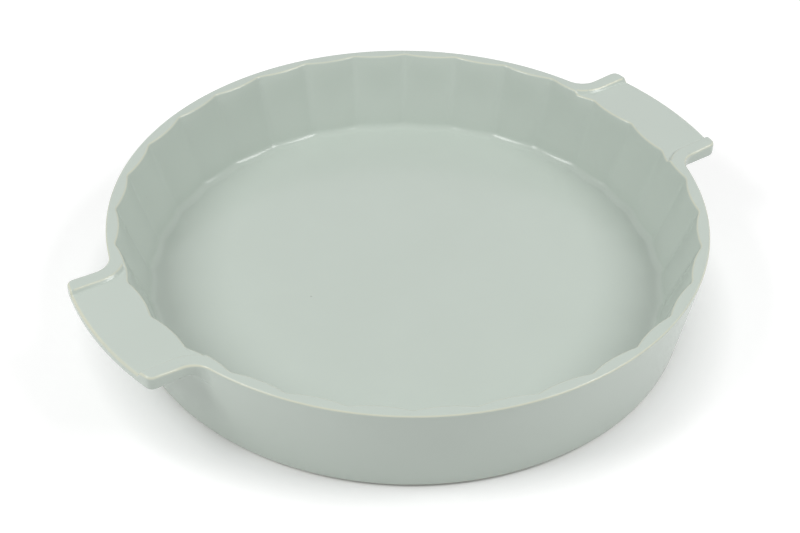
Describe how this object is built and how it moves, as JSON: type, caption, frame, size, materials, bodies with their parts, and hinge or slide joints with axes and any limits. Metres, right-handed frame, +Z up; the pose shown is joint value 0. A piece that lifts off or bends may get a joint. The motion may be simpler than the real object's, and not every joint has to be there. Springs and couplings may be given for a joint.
{
  "type": "pie dish",
  "caption": "Round stoneware pie dish with a fluted inside wall, a flat rim and two flat lug handles, for baking and serving pies and tarts.",
  "frame": {"origin": "middle of the foot ring's footprint on the table", "axes": "+X along the right handle, +Y across the handles, +Z up out of the dish"},
  "size_m": [0.3452, 0.2996, 0.0533],
  "materials": {
    "sage_glaze": "satin matt sage-green glaze",
    "bare_clay": "unglazed fired clay, slightly rough"
  },
  "bodies": {
    "root": {"dish_floor": "sage_glaze", "fluted_wall": "sage_glaze", "left_handle": "sage_glaze", "right_handle": "sage_glaze", "foot_ring": "bare_clay"}
  },
  "joints": []
}
